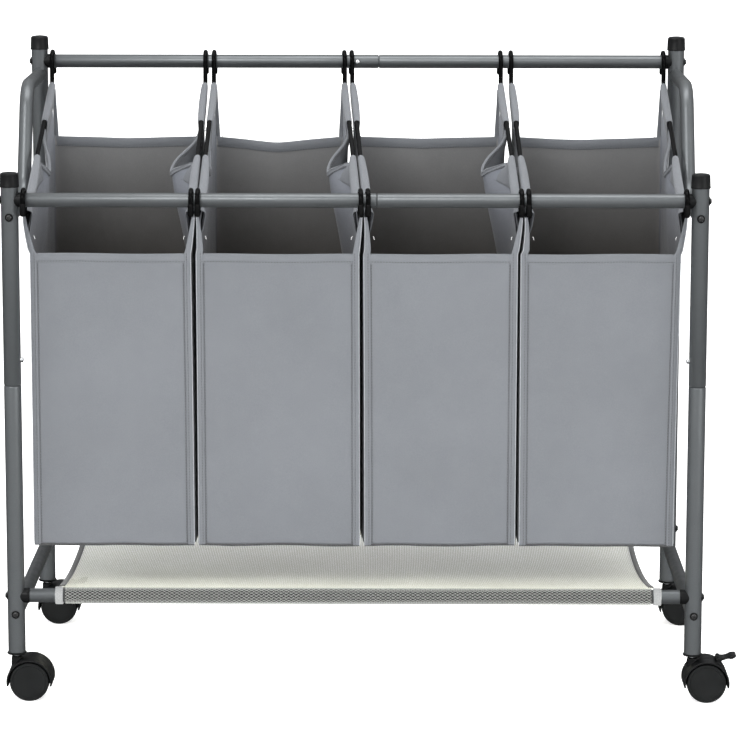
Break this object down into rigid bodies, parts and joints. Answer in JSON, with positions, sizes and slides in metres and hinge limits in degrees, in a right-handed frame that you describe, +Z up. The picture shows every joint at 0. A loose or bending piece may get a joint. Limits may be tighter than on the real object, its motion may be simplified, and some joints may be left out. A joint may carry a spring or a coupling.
{
  "type": "laundry sorter",
  "caption": "Rolling laundry sorter: grey tube frame, higher at the back, on twin-wheel casters, hung with lift-off fabric bags on hooked rods above a mesh shelf.",
  "frame": {"origin": "middle of the footprint, at floor level, with the casters trailing to the right", "axes": "+X to the right as seen from the low front side, +Y to the high back side, +Z up"},
  "size_m": [0.9276, 0.445, 0.8133],
  "materials": {
    "frame_steel": "satin gunmetal grey",
    "black_plastic": "semi-matt black",
    "wheel_plastic": "matt black",
    "black_rod": "glossy black coating",
    "bright_steel": "bright",
    "bag_fabric": "plain cool grey weave",
    "shelf_mesh": "pale open mesh"
  },
  "bodies": {
    "root": {"front_left_post_lower": "frame_steel", "front_left_post_upper": "frame_steel", "front_left_cap": "black_plastic", "front_left_caster_socket": "black_plastic", "front_right_post_lower": "frame_steel", "front_right_post_upper": "frame_steel", "front_right_cap": "black_plastic", "front_right_caster_socket": "black_plastic", "back_left_post_lower": "frame_steel", "back_left_post_upper": "frame_steel", "back_left_cap": "black_plastic", "back_left_caster_socket": "black_plastic", "back_right_post_lower": "frame_steel", "back_right_post_upper": "frame_steel", "back_right_cap": "black_plastic", "back_right_caster_socket": "black_plastic", "front_rail_left": "frame_steel", "front_rail_right": "frame_steel", "front_bottom_rail": "frame_steel", "back_rail_left": "frame_steel", "back_rail_right": "frame_steel", "back_bottom_rail": "frame_steel", "left_upper_side": "frame_steel", "left_lower_side": "frame_steel", "right_upper_side": "frame_steel", "right_lower_side": "frame_steel", "mesh_shelf": "shelf_mesh"},
    "front_left_caster": {"front_left_caster_housing": "black_plastic"},
    "front_left_wheel_near": {"front_left_wheel_near": "wheel_plastic"},
    "front_left_wheel_far": {"front_left_wheel_far": "wheel_plastic"},
    "front_right_caster": {"front_right_caster_housing": "black_plastic"},
    "front_right_wheel_near": {"front_right_wheel_near": "wheel_plastic"},
    "front_right_wheel_far": {"front_right_wheel_far": "wheel_plastic"},
    "front_right_brake": {"front_right_brake_lever": "black_plastic"},
    "back_left_caster": {"back_left_caster_housing": "black_plastic"},
    "back_left_wheel_near": {"back_left_wheel_near": "wheel_plastic"},
    "back_left_wheel_far": {"back_left_wheel_far": "wheel_plastic"},
    "back_left_brake": {"back_left_brake_lever": "black_plastic"},
    "back_right_caster": {"back_right_caster_housing": "black_plastic"},
    "back_right_wheel_near": {"back_right_wheel_near": "wheel_plastic"},
    "back_right_wheel_far": {"back_right_wheel_far": "wheel_plastic"},
    "front_left_button": {"front_left_post_button": "bright_steel"},
    "front_right_button": {"front_right_post_button": "bright_steel"},
    "back_left_button": {"back_left_post_button": "bright_steel"},
    "back_right_button": {"back_right_post_button": "bright_steel"},
    "front_rail_button": {"front_rail_button": "bright_steel"},
    "back_rail_button": {"back_rail_button": "bright_steel"},
    "bag_1": {"bag_1": "bag_fabric", "bag_1_rod_left": "black_rod", "bag_1_rod_right": "black_rod"},
    "bag_2": {"bag_2": "bag_fabric", "bag_2_rod_left": "black_rod", "bag_2_rod_right": "black_rod"},
    "bag_3": {"bag_3": "bag_fabric", "bag_3_rod_left": "black_rod", "bag_3_rod_right": "black_rod"},
    "bag_4": {"bag_4": "bag_fabric", "bag_4_rod_left": "black_rod", "bag_4_rod_right": "black_rod"}
  },
  "joints": [
    {"name": "front_left_caster_swivel", "type": "hinge", "parent": "root", "child": "front_left_caster", "pos_m": [-0.4512, -0.199, 0.06], "axis": [0, 0, 1], "continuous": true},
    {"name": "front_left_wheel_near_spin", "type": "hinge", "parent": "front_left_caster", "child": "front_left_wheel_near", "pos_m": [-0.4342, -0.199, 0.025], "axis": [0, 1, 0], "continuous": true},
    {"name": "front_left_wheel_far_spin", "type": "hinge", "parent": "front_left_caster", "child": "front_left_wheel_far", "pos_m": [-0.4342, -0.199, 0.025], "axis": [0, 1, 0], "continuous": true},
    {"name": "front_right_caster_swivel", "type": "hinge", "parent": "root", "child": "front_right_caster", "pos_m": [0.4088, -0.199, 0.06], "axis": [0, 0, 1], "continuous": true},
    {"name": "front_right_wheel_near_spin", "type": "hinge", "parent": "front_right_caster", "child": "front_right_wheel_near", "pos_m": [0.4258, -0.199, 0.025], "axis": [0, 1, 0], "continuous": true},
    {"name": "front_right_wheel_far_spin", "type": "hinge", "parent": "front_right_caster", "child": "front_right_wheel_far", "pos_m": [0.4258, -0.199, 0.025], "axis": [0, 1, 0], "continuous": true},
    {"name": "front_right_brake_press", "type": "hinge", "parent": "front_right_caster", "child": "front_right_brake", "pos_m": [0.4418, -0.199, 0.05363], "axis": [0, 1, 0], "range_deg": [0, 14]},
    {"name": "back_left_caster_swivel", "type": "hinge", "parent": "root", "child": "back_left_caster", "pos_m": [-0.4512, 0.199, 0.06], "axis": [0, 0, 1], "continuous": true},
    {"name": "back_left_wheel_near_spin", "type": "hinge", "parent": "back_left_caster", "child": "back_left_wheel_near", "pos_m": [-0.4342, 0.199, 0.025], "axis": [0, 1, 0], "continuous": true},
    {"name": "back_left_wheel_far_spin", "type": "hinge", "parent": "back_left_caster", "child": "back_left_wheel_far", "pos_m": [-0.4342, 0.199, 0.025], "axis": [0, 1, 0], "continuous": true},
    {"name": "back_left_brake_press", "type": "hinge", "parent": "back_left_caster", "child": "back_left_brake", "pos_m": [-0.4182, 0.199, 0.05363], "axis": [0, 1, 0], "range_deg": [0, 14]},
    {"name": "back_right_caster_swivel", "type": "hinge", "parent": "root", "child": "back_right_caster", "pos_m": [0.4088, 0.199, 0.06], "axis": [0, 0, 1], "continuous": true},
    {"name": "back_right_wheel_near_spin", "type": "hinge", "parent": "back_right_caster", "child": "back_right_wheel_near", "pos_m": [0.4258, 0.199, 0.025], "axis": [0, 1, 0], "continuous": true},
    {"name": "back_right_wheel_far_spin", "type": "hinge", "parent": "back_right_caster", "child": "back_right_wheel_far", "pos_m": [0.4258, 0.199, 0.025], "axis": [0, 1, 0], "continuous": true},
    {"name": "front_left_button_press", "type": "slide", "parent": "root", "child": "front_left_button", "axis": [-1, 0, 0], "range_m": [0, 0.005], "stiffness_N_per_m": 600, "springref_m": -0.002},
    {"name": "front_right_button_press", "type": "slide", "parent": "root", "child": "front_right_button", "axis": [1, 0, 0], "range_m": [0, 0.005], "stiffness_N_per_m": 600, "springref_m": -0.002},
    {"name": "back_left_button_press", "type": "slide", "parent": "root", "child": "back_left_button", "axis": [-1, 0, 0], "range_m": [0, 0.005], "stiffness_N_per_m": 600, "springref_m": -0.002},
    {"name": "back_right_button_press", "type": "slide", "parent": "root", "child": "back_right_button", "axis": [1, 0, 0], "range_m": [0, 0.005], "stiffness_N_per_m": 600, "springref_m": -0.002},
    {"name": "front_rail_button_press", "type": "slide", "parent": "root", "child": "front_rail_button", "axis": [0, -1, 0], "range_m": [0, 0.005], "stiffness_N_per_m": 600, "springref_m": -0.002},
    {"name": "back_rail_button_press", "type": "slide", "parent": "root", "child": "back_rail_button", "axis": [0, 1, 0], "range_m": [0, 0.005], "stiffness_N_per_m": 600, "springref_m": -0.002},
    {"name": "bag_1_lift", "type": "slide", "parent": "root", "child": "bag_1", "axis": [0, 0, 1], "range_m": [0, 0.62]},
    {"name": "bag_2_lift", "type": "slide", "parent": "root", "child": "bag_2", "axis": [0, 0, 1], "range_m": [0, 0.62]},
    {"name": "bag_3_lift", "type": "slide", "parent": "root", "child": "bag_3", "axis": [0, 0, 1], "range_m": [0, 0.62]},
    {"name": "bag_4_lift", "type": "slide", "parent": "root", "child": "bag_4", "axis": [0, 0, 1], "range_m": [0, 0.62]}
  ]
}
